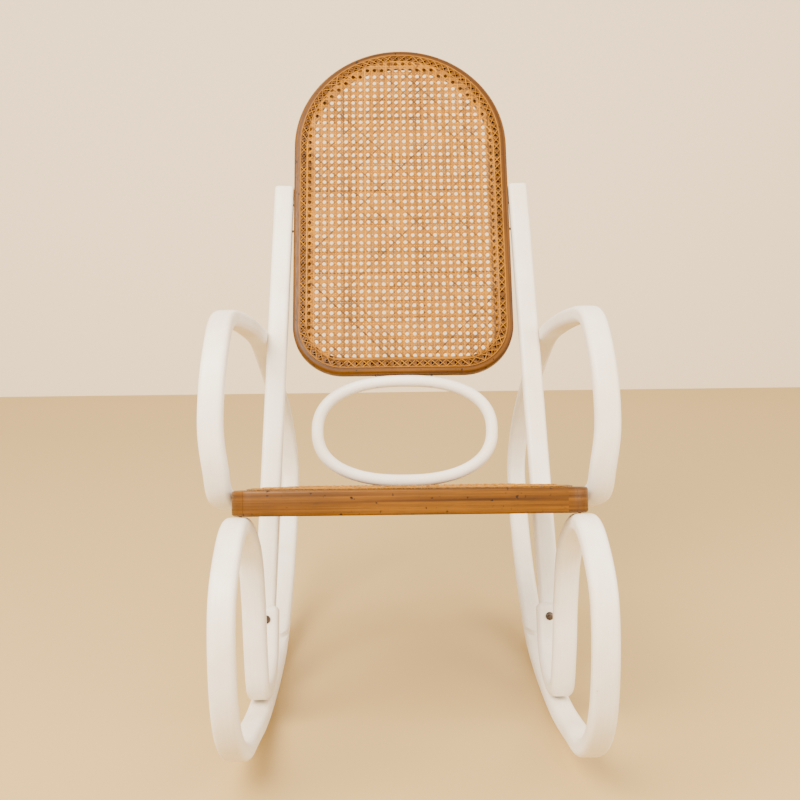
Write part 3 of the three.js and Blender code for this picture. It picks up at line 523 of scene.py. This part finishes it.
# long rounded nose at the arm strip's end: what lies outside it
def noseTool(tilt):
    end = scarf["noseLong"] - strip["thick"] / 2 / scarf["slope"]
    half, wide = strip["width"] / 2 + fit["gap"], strip["width"]
    turns = -np.linspace(0, math.pi, 25)
    curve = np.column_stack([half * np.cos(turns), end + scarf["noseLong"] * np.sin(turns)])
    outside = [(-wide, end), (-wide, end - 100), (wide, end - 100), (wide, end)]
    return plateTool(np.concatenate([curve, outside]), -50, 50, tilt)


def buildFrame(side, word):
    path = smoothCurve(armPoints() + rearPoints() + rockerPoints() + loopPoints()) * (side, 1, 1)
    run = np.concatenate([[0], np.cumsum(np.linalg.norm(np.diff(path, axis=0), axis=1))])
    lowPoint = np.array(inPlane(scarf["y"], scarf["z"])) * (side, 1, 1)
    nearest = int(np.argmin(np.linalg.norm(path - lowPoint, axis=1)))
    middle, reach, far, slit = run[nearest] + scarf["advance"], scarf["reach"], scarf["block"], scarf["slit"]
    centre, heading = alongBy(path, middle), unit(alongBy(path, middle + 2) - alongBy(path, middle - 2))
    rise = math.atan2(heading[2], -heading[1]) + math.atan(scarf["slope"])
    tilt = Matrix.Translation(centre) @ Matrix.Rotation(-rise, 4, "X")
    # the arm's strip climbs a little over the scarf, so its nose keeps some thickness
    share = np.clip((run - middle + 2 * reach) / (3 * reach), 0, 1)
    climbing = path + np.outer(scarf["noseThick"] * share ** 2 * (3 - 2 * share), (0, 0, 1))
    made = {"arm": addObject("arm" + word, *stripSkin(climbing, 0, middle + reach, True, False)),
            "runner": addObject("runner" + word, *stripSkin(path, middle - reach, run[-1], False, True))}
    for name, low, high in (("arm", -far, slit), ("runner", -slit, far)):
        block = boxTool((-far, -2 * far, low), (far, 2 * far, high), tilt)
        carve(made[name], [block, noseTool(tilt)] if name == "arm" else [block])
    return made


def rockerPoints():
    return [inPlane(y, rockerZ(y)) for y in np.linspace(rocker["rearY"], rocker["frontY"], 7)]


frames = {word: buildFrame(side, word) for side, word in ((-1, "Left"), (1, "Right"))}
print("side frames bent")

post = {"round": 7, "endRound": 6}


def buildPost(side, word):
    r = post["endRound"]
    turns = np.radians(np.arange(0, 91, 15))
    heads = back["postFoot"] + r * (1 - np.cos(turns))
    tails = back["postTop"] - r * (1 - np.cos(turns[::-1]))
    at = np.concatenate([heads, np.linspace(heads[-1], tails[0], 30)[1:-1], tails])
    insets = np.concatenate([r * (1 - np.sin(turns)), np.zeros(28), r * (1 - np.sin(turns[::-1]))])
    lean = side * postSlant
    axis = np.array([-math.sin(lean), math.cos(lean), 0])
    centres = np.array([side * postHalfAtSeat, 0, 0]) + at[:, None] * axis
    sides = np.tile([math.cos(lean), math.sin(lean), 0], (len(at), 1))
    sections = np.array([roundedSection(strip["width"], strip["thick"], post["round"], d) for d in insets])
    grid = sweep(centres, sides, np.tile([0.0, 0, 1], (len(at), 1)), sections)
    made = addObject("post" + word, *skin(grid), axes=backAxes)
    # the post's outline, grown a little, for the housings in what meets it
    turn = Matrix.Translation((side * postHalfAtSeat, 0, 0)) @ Matrix.Rotation(lean, 4, "Z")
    half = (strip["width"] / 2 + 0.1, strip["thick"] / 2 + 0.1)
    low, high = (-half[0], back["postFoot"], -half[1]), (half[0], back["postTop"], half[1])
    housing = boxTool(low, high, backAxes, turn)
    return made, housing


posts = {word: buildPost(side, word) for side, word in ((-1, "Left"), (1, "Right"))}
print("posts placed")

seatRails = {"edgeRound": 3.5, "cornerSteps": 8, "seam": 0.12}


def roundedPolygon(corners, steps):
    points = []
    for i, (x, y, radius) in enumerate(corners):
        here = np.array([x, y], float)
        last = np.array(corners[i - 1][:2], float)
        following = np.array(corners[(i + 1) % len(corners)][:2], float)
        toLast, toNext = unit(last - here), unit(following - here)
        half = math.acos(toLast @ toNext) / 2
        middle = here + unit(toLast + toNext) * radius / math.sin(half)
        start, stop = (here + to * radius / math.tan(half) - middle for to in (toLast, toNext))
        first = math.atan2(start[1], start[0])
        sweepBy = (math.atan2(stop[1], stop[0]) - first + math.pi) % (2 * math.pi) - math.pi
        angles = [first + sweepBy * k / steps for k in range(steps + 1)]
        points += [middle + radius * np.array([math.cos(a), math.sin(a)]) for a in angles]
    return np.array(points)


def seatOutline(inset, steps=None):
    taper = math.atan((seat["frontHalf"] - seat["rearHalf"]) / seat["depth"])
    slack = inset / math.cos(taper)
    front, rear = seatHalfAt(inset) - slack, seatHalfAt(seat["depth"] - inset) - slack
    frontR, rearR = max(seat["frontCorner"] - inset / 2, 6), max(seat["rearCorner"] - inset / 2, 6)
    rearY = seat["depth"] - inset
    corners = [(front, inset, frontR), (rear, rearY, rearR), (-rear, rearY, rearR), (-front, inset, frontR)]
    return roundedPolygon(corners, steps or seatRails["cornerSteps"])


def wholeSeatRing(name):
    section = roundedSection(seat["rail"], seat["height"], seatRails["edgeRound"], steps=4)
    section = section + (seat["rail"] / 2, -seat["height"] / 2)
    count = 4 * (seatRails["cornerSteps"] + 1)
    grid = np.stack([np.column_stack([seatOutline(a), np.full(count, z)]) for a, z in section], 1)
    return addObject(name, *skin(grid, loop=True), axes=seatAxes)


def buildRails():
    far, s = 400, seatRails["seam"]
    frontX, rearX = seat["frontHalf"] - seat["seamInset"], seat["rearHalf"] - seat["seamInset"]
    rearY = seat["depth"] - seat["rail"]
    keeps = {"Front": ((-frontX + s, -far, -far), (frontX - s, seat["rail"] - s, far)),
             "Rear": ((-rearX + s, rearY + s, -far), (rearX - s, 2 * far, far)),
             "SideLeft": ((-far, -far, -far), (0, 2 * far, far)),
             "SideRight": ((0, -far, -far), (far, 2 * far, far))}
    middles = [boxTool((-frontX - s, -far, -far), (frontX + s, seat["rail"] + s, far), seatAxes),
               boxTool((-rearX - s, rearY - s, -far), (rearX + s, 2 * far, far), seatAxes)]
    made = {}
    for word, (low, high) in keeps.items():
        made[word] = wholeSeatRing("rail" + word)
        keep = boxTool(low, high, seatAxes)
        carve(made[word], [keep], "INTERSECT")
        if word.startswith("Side"):
            carve(made[word], middles)
        bpy.data.objects.remove(keep)
    for tool in middles:
        bpy.data.objects.remove(tool)
    return made


rails = buildRails()
print("seat rails joined")

backFrame = {"round": 6, "archSteps": 60, "cornerSteps": 16, "count": 360}


def backOutline(inset):
    half, low = back["frameHalf"] - inset, ring["height"] + ring["rod"] / 2 + fit["gap"]
    arch, corner = low + back["frameLength"] - back["frameHalf"], back["corner"] - inset
    turns = [(0, arch, half, a) for a in np.linspace(0, math.pi, backFrame["archSteps"])]
    for side, start in ((-1, math.pi), (1, 1.5 * math.pi)):
        turns += [(side * (half - corner), low + inset + corner, corner, a)
                  for a in np.linspace(start, start + 0.5 * math.pi, backFrame["cornerSteps"])]
    return np.array([(x + r * math.cos(a), y + r * math.sin(a)) for x, y, r, a in turns])


def closedRod(outline, count, sections, axes, name):
    even, inward = evenOutline(outline, count)
    centres, sides = (np.column_stack([v, np.zeros(count)]) for v in (even, inward))
    grid = sweep(centres, sides, np.tile([0.0, 0, -1], (count, 1)), np.tile(sections, (count, 1, 1)))
    return addObject(name, *skin(grid, loop=True), axes=axes)


frameSection = roundedSection(back["member"], back["depth"], backFrame["round"])
backLine = backOutline(back["member"] / 2)
frameBody = closedRod(backLine, backFrame["count"], frameSection, backAxes, "backFrame")

turns = np.linspace(0, 2 * math.pi, 400, endpoint=False)
bent = [np.sign(f) * np.abs(f) ** (2 / ring["square"]) for f in (np.cos(turns), np.sin(turns))]
oval = np.column_stack([ring["halfWidth"] * bent[0], ring["height"] / 2 * (1 + bent[1])])
around = np.linspace(0, 2 * math.pi, 24, endpoint=False)
rodSection = ring["rod"] / 2 * np.column_stack([np.cos(around), np.sin(around)])
ringBody = closedRod(oval, 240, rodSection, backAxes, "lumbarRing")
print("back frame and ring bent")

weave = {"pitch": 13.0, "pairGap": 1.7, "width": 3.0, "thick": 0.75, "lift": 1.9, "layer": 0.7, "swing": 1.05,
         "straightStep": 6.5, "wavyStep": 2.6, "wobble": 0.22, "tuckLength": 9, "tone": 0.12,
         "toneSpread": 0.13}


# where a straight line crosses a convex outline
def clipLine(outline, origin, heading):
    following = np.roll(outline, -1, 0)
    normal = np.array([-heading[1], heading[0]])
    a, b = (outline - origin) @ normal, (following - origin) @ normal
    hit = (a > 0) != (b > 0)
    if hit.sum() < 2:
        return None
    share = (a[hit] / (a[hit] - b[hit]))[:, None]
    at = ((outline[hit] + (following[hit] - outline[hit]) * share) - origin) @ heading
    return at.min(), at.max()


def strandSkin(flat, heights, width, thick, loop=False, first=0):
    run = np.roll(flat, -1, 0) - np.roll(flat, 1, 0) if loop else np.gradient(flat, axis=0)
    sides = unit(np.column_stack([-run[:, 1], run[:, 0], np.zeros(len(run))]))
    dome = np.array([(0.5, 0), (0.3, 0.82), (0, 1), (-0.3, 0.82), (-0.5, 0)]) * (width, thick)
    centres = np.column_stack([flat, heights])
    ups = np.tile([0.0, 0, 1], (len(flat), 1))
    return skin(sweep(centres, sides, ups, np.tile(dome, (len(flat), 1, 1))), loop, first)


# pairs of strands both ways, or single ones on the diagonals that pass over and under them
def weaveStrands(outline, family, sag):
    p, e = weave["pitch"], weave["pairGap"]
    reach = np.abs(outline).max() + p
    count = int(reach * 2 / p) + 2
    kinds = {"grid": [((0, 1), e, weave["layer"], 0), ((0, 1), -e, -weave["layer"], 0),
                      ((1, 0), e, 0, 0), ((1, 0), -e, 0, 0)],
             "diagonal": [((1, 1), 0, -0.3, -1), ((-1, 1), 0, 0.3, 1)]}[family]
    skins, tones, first = [], [], 0
    middle = outline.mean(0)
    for heading, offset, layer, swing in kinds:
        heading = unit(np.array(heading, float))
        normal = np.array([heading[1], -heading[0]])
        spacing = p if swing == 0 else p / math.sqrt(2)
        shift = 0 if swing == 0 else 0.5
        for k in range(-count * 2, count * 2):
            origin = normal * ((k + shift) * spacing + offset)
            found = clipLine(outline, origin, heading)
            if found is None or found[1] - found[0] < 6:
                continue
            step = weave["straightStep"] if swing == 0 else weave["wavyStep"]
            at = np.linspace(found[0], found[1], max(int((found[1] - found[0]) / step), 4))
            drift = np.cumsum(noise.normal(0, weave["wobble"] * 0.25, len(at)))
            drift = (drift - np.linspace(drift[0], drift[-1], len(at))).clip(-0.5, 0.5)
            flat = origin + at[:, None] * heading + drift[:, None] * normal
            wave = swing * weave["swing"] * np.cos(2 * math.pi * flat[:, 0] / p)
            ends = np.minimum(at - at[0], at[-1] - at)
            tuck = np.clip(ends / weave["tuckLength"], 0, 1) ** 0.6  # dips under the border
            far = np.linalg.norm((flat - middle) / (np.ptp(outline, axis=0) / 2), axis=1).clip(0, 1)
            heights = 0.2 + (weave["lift"] + layer + wave - 0.2) * tuck - sag * (1 - far ** 2)
            width = weave["width"] * random.uniform(0.9, 1.08)
            made = strandSkin(flat, heights, width, weave["thick"], False, first)
            skins.append(made)
            first += len(made[0])
            tones += [random.gauss(weave["tone"], weave["toneSpread"])] * len(made[0])
    points, faces, uvs = joinSkins(skins)
    return points, faces, uvs, tones


stitch = {"outerLift": 1.0, "outerWidth": 1.9, "outerThick": 1.0, "innerLift": 1.35, "innerWidth": 1.7,
          "innerThick": 0.9, "crossWidth": 1.6, "crossThick": 0.75, "underLift": 0.35, "overLift": 0.95,
          "wobble": 0.12, "crossWobble": 0.1, "tone": 0.1, "toneSpread": 0.12}


# two edge strands with crossed stitches between them, one cross for each hole
def stitchBorder(outlineAt, outer, inner, pitch):
    middle = (outer + inner) / 2
    base = outlineAt(middle)
    around = lengthOf(np.concatenate([base, base[:1]]))
    count = int(round(around / pitch))
    even, inward = evenOutline(base, count * 4)
    half = (inner - outer) / 2
    lines = [(even - inward * half, stitch["outerLift"], stitch["outerWidth"], stitch["outerThick"]),
             (even + inward * half, stitch["innerLift"], stitch["innerWidth"], stitch["innerThick"])]
    skins, tones, first = [], [], 0
    for flat, lift, width, thick in lines:
        flat = flat + noise.normal(0, stitch["wobble"], flat.shape)
        made = strandSkin(flat, np.full(len(flat), lift), width, thick, True, first)
        skins.append(made)
        first += len(made[0])
        tones += [stitch["tone"]] * len(made[0])
    for k in range(count):
        a, b = even[k * 4], even[(k * 4 + 4) % len(even)]
        na, nb = inward[k * 4], inward[(k * 4 + 4) % len(even)]
        for turn, lift in ((1, stitch["underLift"]), (-1, stitch["overLift"])):
            start, stop = a - na * half * turn * 0.9, b + nb * half * turn * 0.9
            share = np.linspace(0, 1, 7)[:, None]
            flat = start + (stop - start) * share + noise.normal(0, stitch["crossWobble"], (7, 2))
            heights = 0.15 + (lift + 0.75) * np.sin(share[:, 0] * math.pi) ** 0.5
            made = strandSkin(flat, heights, stitch["crossWidth"], stitch["crossThick"], False, first)
            skins.append(made)
            first += len(made[0])
            tones += [random.gauss(stitch["tone"], stitch["toneSpread"])] * len(made[0])
    points, faces, uvs = joinSkins(skins)
    return points, faces, uvs, tones, even


def drillTool(spots, radius, low, high, axes):
    skins, first = [], 0
    turns = np.arange(14) * 2 * math.pi / 14
    circle = np.column_stack([np.cos(turns), np.sin(turns)]) * radius
    for spot in spots:
        grid = np.stack([np.column_stack([circle + spot, np.full(14, z)]) for z in (low, high)])
        skins.append(skin(grid, False, first))
        first += len(skins[-1][0])
    return addObject("tool", *joinSkins(skins), axes=axes)


panels = {"back": {"outer": 11.5, "inner": 24.5, "hole": 3.9, "deep": 9, "sag": 0.0},
          "seat": {"outer": 17.5, "inner": 30.5, "hole": 3.9, "deep": 12, "sag": 3.0}}
frontFace = back["depth"] / 2
panelAxes = {"back": backAxes @ Matrix.Translation((0, 0, frontFace)), "seat": seatAxes}
outlines = {"back": lambda inset: backOutline(inset), "seat": lambda inset: seatOutline(inset, 12)}
borderSpots = {}
for word, size in panels.items():
    axes = panelAxes[word]
    field = outlines[word](size["inner"] - 1)
    for family in ("grid", "diagonal"):
        points, faces, uvs, tones = weaveStrands(field, family, size["sag"])
        woven = addObject(f"{word}Cane_{family}", points, faces, uvs, tones, axes, 60)
        dress(woven, [word + "_cane"], cane)
    made = stitchBorder(outlines[word], size["outer"], size["inner"], weave["pitch"])
    points, faces, uvs, tones, even = made
    stitched = addObject(word + "CaneBorder", points, faces, uvs, tones, axes, 60)
    dress(stitched, [word + "_cane_binder"], binderCane)
    borderSpots[word] = (even + np.roll(even, -1, 0))[1::4] / 2
print("cane woven and stitched")

drilled = {"back": [frameBody], "seat": list(rails.values())}
for word, size in panels.items():
    holes = drillTool(borderSpots[word], size["hole"], -size["deep"], 3, panelAxes[word])
    for piece in drilled[word]:
        carve(piece, [holes])
print("holes drilled")

screw = {"head": 4.0, "shank": 2.0, "sink": 3.0, "rim": 0.6, "tip": 3, "slotWidth": 1.1, "slotDepth": 1.4,
         "slack": 0.12, "sides": 28}
bolt = {"head": 6.5, "dome": 3.5, "shank": 3.0, "chamfer": 0.8, "nut": 12.0, "nutHeight": 5.0,
        "nutChamfer": 0.6, "clearance": 0.1}


def facing(place, heading):
    turn = Vector((0, 0, 1)).rotation_difference(Vector(heading))
    return Matrix.Translation(place) @ turn.to_matrix().to_4x4()


def screwProfile(length, slack, start=0.0):
    h, s = screw["head"] + slack, screw["shank"] + slack
    return [(0.05, start), (h - 0.3, start), (h, start + 0.3), (h, screw["rim"]),
            (s, screw["sink"] + screw["rim"]), (s, length - screw["tip"]), (0.3, length + slack)]


def addScrew(name, node, place, heading, length, pieces):
    heading = Vector(heading).normalized()
    axes = facing(Vector(place) + heading * fit["gap"], heading)
    spun = axes @ Matrix.Rotation(random.uniform(0, math.pi), 4, "Z")
    made = addLathe(name, screwProfile(length, 0), screw["sides"], spun)
    turn = Matrix.Rotation(random.uniform(0, math.pi), 4, "Z")
    half, past = screw["slotWidth"] / 2, 2 * screw["head"] + 1
    slot = boxTool((-half, -past, -2), (half, past, screw["slotDepth"]), axes, turn)
    carve(made, [slot], sharpAngle=25)
    bpy.data.objects.remove(slot)
    hole = addLathe("tool", screwProfile(length, screw["slack"], -3), screw["sides"], axes)
    for piece in pieces:
        carve(piece, [hole])
    bpy.data.objects.remove(hole)
    dress(made, [node], steel)


# domed head with a small rim; the neck hidden in the wood is left round
def addBolt(name, node, place, heading, length):
    axes = facing(place, heading)
    h, d = bolt["head"], bolt["dome"]
    dome = [(max(h * math.sin(a), 0.05), -d * math.cos(a)) for a in np.radians(np.arange(0, 85, 12))]
    shank, chamfer = bolt["shank"], bolt["chamfer"]
    profile = dome + [(h, -0.5), (h, 0), (shank, 0), (shank, length - chamfer), (shank - chamfer, length)]
    return dress(addLathe(name, profile, 36, axes), [node], steel)


def addNut(name, node, place, heading):
    axes = facing(place, heading)
    outer = bolt["nut"] / math.sqrt(3)
    corner = [(outer * math.cos(k * math.pi / 3), outer * math.sin(k * math.pi / 3)) for k in range(6)]
    grid = []
    tall, chamfer = bolt["nutHeight"], bolt["nutChamfer"]
    for z, grow in ((0, 0.94), (chamfer, 1.0), (tall - chamfer, 1.0), (tall, 0.94)):
        grid.append([(x * grow, y * grow, z) for x, y in corner])
    hole = bolt["shank"] + bolt["clearance"]
    made = addObject(name, *skin(np.array(grid, float)), axes=axes, sharpAngle=20)
    bore = addLathe("tool", [(hole, -2), (hole, tall + 2)], screw["sides"], axes)
    carve(made, [bore], sharpAngle=25)
    bpy.data.objects.remove(bore)
    return dress(made, [node], steel)


def seatSpot(side, x, y, z):
    return seatAxes @ Vector((side * x, y, z))


def backSpot(side, x, y, z):
    return backAxes @ Vector((side * x, y, z))


seatUp = seatAxes.to_3x3() @ Vector((0, 0, 1))
backUp = backAxes.to_3x3() @ Vector((0, 1, 0))
backFront = backAxes.to_3x3() @ Vector((0, 0, 1))


# where the screws sit, and how far each goes past the piece its head is in
driven = {"armAt": (0.5, 0.82), "armDeep": 20, "crossingDeep": 24, "railDeep": 10, "postAt": (35, 85),
          "postDeep": 18, "cornerAt": 0.8, "cornerDeep": 18, "ringAt": 0.32, "ringUp": 20, "ringDown": 13}


def fastenSide(side, word):
    low = word.lower()
    armPiece, runner, postPiece = frames[word]["arm"], frames[word]["runner"], posts[word][0]
    sideRail, inward = rails["Side" + word], (-side, 0, 0)
    width, thick = strip["width"], strip["thick"]
    # hooked end of the arm to the seat
    for end, share in zip(("Front", "Rear"), driven["armAt"]):
        depth = seat["frontCorner"] + arm["hook"] * share
        place = seatSpot(side, seatHalfAt(depth) + width - fit["housing"], depth, -seat["height"] / 2 - 1)
        addScrew(f"armSeatScrew{end}{word}", f"arm_seat_screw_{end.lower()}_{low}", place, inward,
                 width + driven["armDeep"], [armPiece, sideRail])
    # arm, seat and back frame to the post
    place = backSpot(side, postHalfAt(arm["crossing"]) + 1.5 * width - fit["housing"], arm["crossing"], 0)
    addScrew("armPostScrew" + word, "arm_post_screw_" + low, place, inward, width + driven["crossingDeep"],
             [armPiece, postPiece])
    height = -(ring["rod"] / 2 + seat["height"] / 2) / math.cos(math.radians(back["lean"]))
    place = backSpot(side, postHalfAtSeat + width / 2, height, 0)
    addScrew("postSeatScrew" + word, "post_seat_screw_" + low, place, inward, width + driven["railDeep"],
             [postPiece, sideRail])
    for end, below in zip(("Upper", "Lower"), driven["postAt"]):
        height = back["postTop"] - below
        place = backSpot(side, postHalfAt(height) + width / 2, height, 0)
        addScrew(f"postBackScrew{end}{word}", f"post_back_screw_{end.lower()}_{low}", place, inward,
                 width + driven["postDeep"], [postPiece, frameBody])
    # front loop to the seat's corner, inner loop to the rocker
    depth = driven["cornerAt"] * seat["frontCorner"]
    place = seatSpot(side, frameX(seat["frontY"]) - 3, depth, 1 - seat["height"] - thick)
    addScrew("loopSeatScrew" + word, "loop_seat_screw_" + low, place, seatUp, thick + driven["cornerDeep"],
             [runner, sideRail])
    footY, footZ = loopFoot()
    place = (side * frameX(footY), footY, footZ + thick / 2)
    addScrew("loopRunnerScrew" + word, "loop_runner_screw_" + low, place, (0, 0, -1), 1.5 * thick, [runner])
    # bolt and nut through the upright and the post's foot
    lapHeight = back["postFoot"] + loop["lap"] / 2
    lapX = frameX(0) + loop["boltOut"]
    through = 2 * thick + fit["gap"]
    boltPlace = backSpot(side, lapX, lapHeight, 1.5 * thick + 2 * fit["gap"])
    nutPlace = backSpot(side, lapX, lapHeight, -thick / 2 - fit["gap"])
    addBolt("lapBolt" + word, "lap_bolt_" + low, boltPlace, -backFront, through + bolt["nutHeight"] + 3)
    boreRadius = bolt["shank"] + bolt["clearance"]
    boreProfile = [(boreRadius, -20), (boreRadius, 2 * through)]
    bore = addLathe("tool", boreProfile, screw["sides"], facing(boltPlace, -backFront))
    carve(runner, [bore])
    carve(postPiece, [bore])
    bpy.data.objects.remove(bore)
    addNut("lapNut" + word, "lap_nut_" + low, nutPlace, -backFront)
    # ring to the back frame above and the rear rail below
    ringX = ring["halfWidth"] * driven["ringAt"]
    place = backSpot(side, ringX, ring["height"] - ring["rod"] / 2 + screw["rim"], 0)
    addScrew("ringBackScrew" + word, "ring_back_screw_" + low, place, backUp, ring["rod"] + driven["ringUp"],
             [ringBody, frameBody])
    place = seatSpot(side, ringX, seat["depth"] - ring["setback"], -seat["height"])
    addScrew("ringSeatScrew" + word, "ring_seat_screw_" + low, place, seatUp,
             seat["height"] + driven["ringDown"], [ringBody, rails["Rear"]])


seatBlock = plateTool(seatOutline(-0.1), -seat["height"] - 0.1, 0.1, seatAxes)
for word in ("Left", "Right"):
    housing = posts[word][1]
    for piece in frames[word].values():
        carve(piece, [seatBlock, housing])
    carve(posts[word][0], [seatBlock])
for side, word in ((-1, "Left"), (1, "Right")):
    fastenSide(side, word)
print("fasteners driven")

for word in ("Left", "Right"):
    low = word.lower()
    dress(frames[word]["arm"], ["arm_" + low], paint)
    dress(frames[word]["runner"], ["runner_" + low], paint)
    dress(posts[word][0], ["back_post_" + low], paint)
    dress(rails["Side" + word], ["seat_side_rail_" + low], wood)
dress(rails["Front"], ["seat_front_rail"], wood)
dress(rails["Rear"], ["seat_rear_rail"], wood)
dress(frameBody, ["back_frame"], wood)
dress(ringBody, ["lumbar_ring"], paint)
for name, node in frame["nodes"].items():
    if name.startswith("seat_dowel"):
        node.data.materials.clear()
        node.data.materials.append(beech)
for tool in [o for o in bpy.data.objects if o.name.startswith("tool")]:
    bpy.data.objects.remove(tool)
print("pieces dressed")

studio = {"floor": "BCA066", "wall": "FBEACB", "wallAt": 3.0, "size": 6, "world": "FFF6E8",
          "worldStrength": 1.9, "key": "FFF1DE", "keyPower": 270, "fill": "FFEBD2", "fillPower": 70}


# plain floor, and a plain wall far enough behind to leave the chair's back in sight
def addPlane(name, corners, colour, roughness):
    mesh = bpy.data.meshes.new(name)
    mesh.from_pydata(corners, [], [(0, 1, 2, 3)])
    made = bpy.data.objects.new(name, mesh)
    bpy.context.scene.collection.objects.link(made)
    look, tree = startMaterial(name + ", matt and plain")
    finishMaterial(tree, {"Base Color": fromHex(colour), "Roughness": roughness})
    mesh.materials.append(look)


far, wallAt = studio["size"], studio["wallAt"]
floorCorners = [(-far, -far, 0), (far, -far, 0), (far, wallAt, 0), (-far, wallAt, 0)]
wallCorners = [(-far, wallAt, 0), (far, wallAt, 0), (far, wallAt, 4), (-far, wallAt, 4)]
addPlane("floor", floorCorners, studio["floor"], 0.55)
addPlane("wall", wallCorners, studio["wall"], 0.8)


def addArea(name, place, target, size, power, colour):
    lamp = bpy.data.lights.new(name, "AREA")
    lamp.shape, lamp.size, lamp.energy, lamp.color = "DISK", size, power, fromHex(colour)[:3]
    made = bpy.data.objects.new(name, lamp)
    made.location = place
    made.rotation_euler = (Vector(target) - Vector(place)).to_track_quat("-Z", "Y").to_euler()
    bpy.context.scene.collection.objects.link(made)


addArea("key", (-1.3, -1.9, 2.5), (0, 0, 0.5), 2.2, studio["keyPower"], studio["key"])
addArea("fill", (2.2, -1.2, 1.4), (0, 0, 0.5), 1.8, studio["fillPower"], studio["fill"])
world = bpy.data.worlds.new("studio")
world.use_nodes = True
world.node_tree.nodes["Background"].inputs[0].default_value = fromHex(studio["world"])
world.node_tree.nodes["Background"].inputs[1].default_value = studio["worldStrength"]
bpy.context.scene.world = world

camera = {"place": (-0.026, -1.705, 0.745), "pitch": 9.4, "roll": -0.7, "lens": 50, "shift": 0.01375}
eye = bpy.data.cameras.new("camera")
eye.lens, eye.sensor_width, eye.shift_x = camera["lens"], 36, camera["shift"]
viewer = bpy.data.objects.new("camera", eye)
tipped = Matrix.Rotation(math.radians(90 - camera["pitch"]), 4, "X")
rolled = Matrix.Rotation(math.radians(camera["roll"]), 4, "Z")
viewer.matrix_world = Matrix.Translation(camera["place"]) @ tipped @ rolled
bpy.context.scene.collection.objects.link(viewer)
bpy.context.scene.camera = viewer
print("studio ready")
